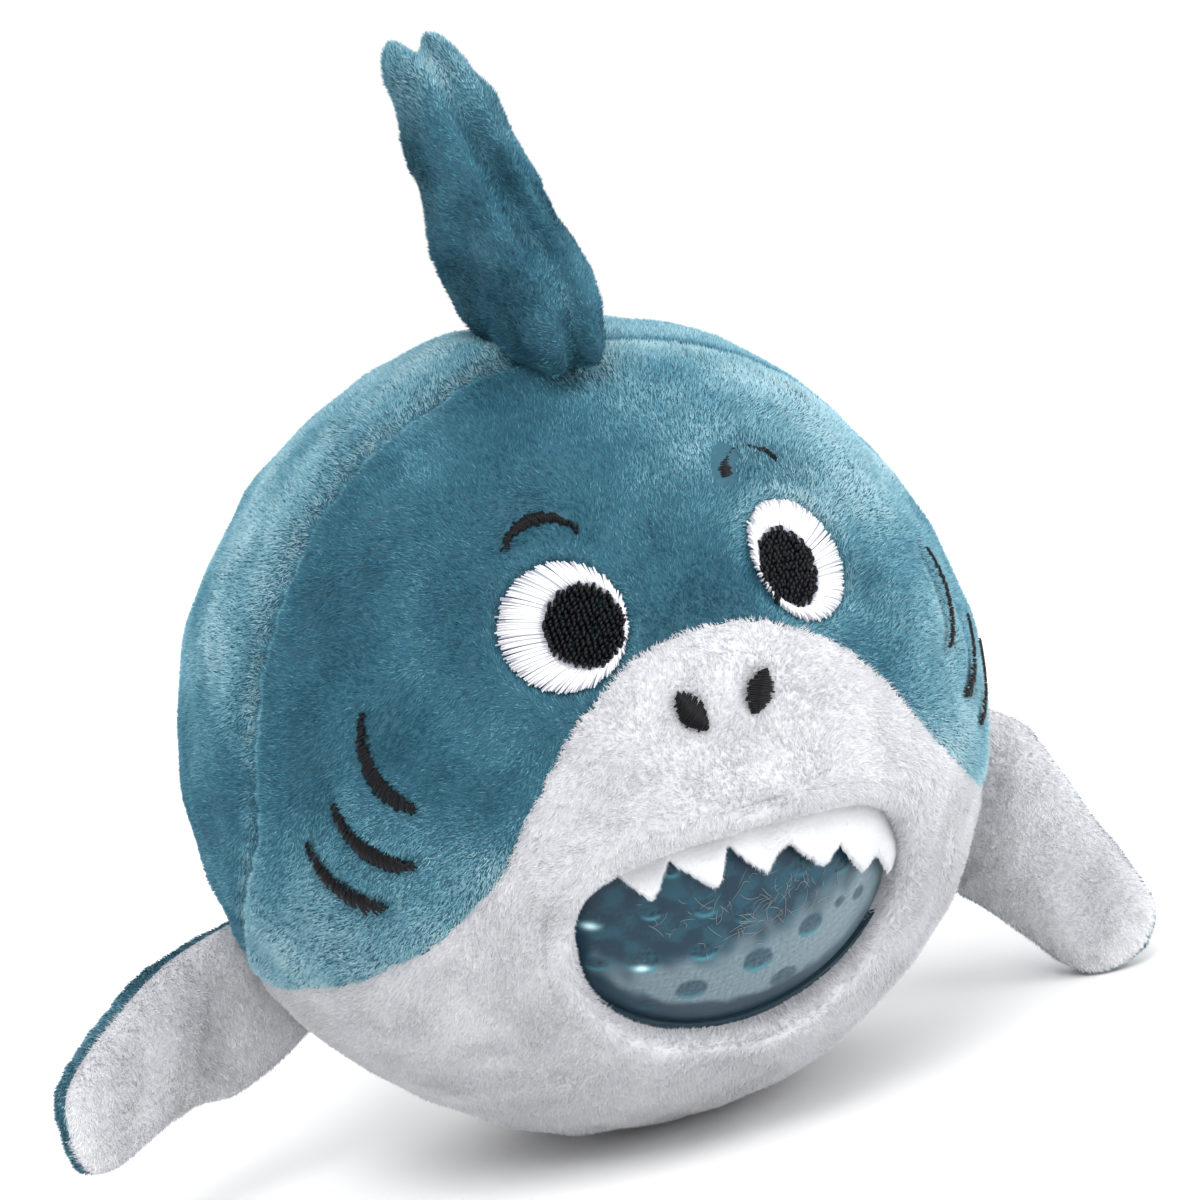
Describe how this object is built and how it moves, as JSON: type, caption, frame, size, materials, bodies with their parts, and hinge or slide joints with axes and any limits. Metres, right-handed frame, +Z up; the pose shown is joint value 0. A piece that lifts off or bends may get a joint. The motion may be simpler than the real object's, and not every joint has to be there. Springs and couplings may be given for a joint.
{
  "type": "plush shark squeeze ball",
  "caption": "Round plush shark stretched over a gel-filled squeeze ball that shows and bulges through its toothed open mouth, with stuffed flippers and fins.",
  "frame": {"origin": "middle of the flat patch under the ball, on the floor", "axes": "+Z up, face towards -Y, +X towards the shark's left side"},
  "size_m": [0.1445, 0.1216, 0.1286],
  "materials": {
    "teal_plush": "short velvet pile",
    "white_plush": "short velvet pile",
    "white_felt": "matt felt",
    "white_thread": "satin thread",
    "black_thread": "satin thread",
    "wadding": "polyester fibre",
    "clear_skin": "glossy, see-through",
    "teal_gel": "clear tinted gel",
    "dark_beads": "glossy, see-through"
  },
  "bodies": {
    "cover": {"face_panel": "teal_plush", "back_panel_left": "teal_plush", "back_panel_right": "teal_plush", "belly_panel": "white_plush", "rear_belly_panel": "white_plush", "mouth_hem": "white_plush", "wadding_lining": "wadding", "gel_skin": "clear_skin", "fill_plug": "clear_skin", "gel_fill": "teal_gel", "water_beads": "dark_beads", "right_eye_white": "white_thread", "left_eye_white": "white_thread", "right_pupil": "black_thread", "left_pupil": "black_thread", "right_brow": "black_thread", "left_brow": "black_thread", "right_nostril": "black_thread", "left_nostril": "black_thread", "right_gill_stitches": "black_thread", "left_gill_stitches": "black_thread"},
    "ball_dome": {"bulge_skin": "clear_skin", "bulge_gel": "teal_gel", "bulge_beads": "dark_beads"},
    "teeth": {"tooth_strip": "white_felt"},
    "right_flipper": {"right_flipper_top": "teal_plush", "right_flipper_under": "white_plush", "right_flipper_stuffing": "wadding"},
    "left_flipper": {"left_flipper_top": "teal_plush", "left_flipper_under": "white_plush", "left_flipper_stuffing": "wadding"},
    "dorsal_fin": {"dorsal_left_panel": "teal_plush", "dorsal_right_panel": "teal_plush", "dorsal_stuffing": "wadding"},
    "tail_fin": {"tail_left_panel": "teal_plush", "tail_right_panel": "teal_plush", "tail_stuffing": "wadding"}
  },
  "joints": [
    {"name": "dome_slide", "type": "slide", "parent": "cover", "child": "ball_dome", "axis": [0, -0.9135, -0.4067], "range_m": [0, 0.007], "stiffness_N_per_m": 300},
    {"name": "teeth_hinge", "type": "hinge", "parent": "cover", "child": "teeth", "pos_m": [0, -0.04406, 0.0399], "axis": [-1, 0, 0], "range_deg": [0, 36]},
    {"name": "right_flipper_hinge", "type": "hinge", "parent": "cover", "child": "right_flipper", "pos_m": [-0.05174, 0.01231, 0.02254], "axis": [-0.6022, 0.788, -0.128], "range_deg": [-35, 30], "stiffness_Nm_per_rad": 0.03},
    {"name": "left_flipper_hinge", "type": "hinge", "parent": "cover", "child": "left_flipper", "pos_m": [0.05174, 0.01231, 0.02254], "axis": [-0.3353, -0.788, 0.5163], "range_deg": [0, 60], "stiffness_Nm_per_rad": 0.03},
    {"name": "dorsal_hinge", "type": "hinge", "parent": "cover", "child": "dorsal_fin", "pos_m": [0, -0.01275, 0.10065], "axis": [0, 0.9728, 0.2317], "range_deg": [-30, 30], "stiffness_Nm_per_rad": 0.03},
    {"name": "tail_hinge", "type": "hinge", "parent": "cover", "child": "tail_fin", "pos_m": [0, 0.05287, 0.05085], "axis": [0, -0.0698, 0.9976], "range_deg": [-30, 30], "stiffness_Nm_per_rad": 0.03}
  ],
  "couplings": [
    {"joint": "teeth_hinge", "follows": "dome_slide", "rad_per_m": 85}
  ]
}
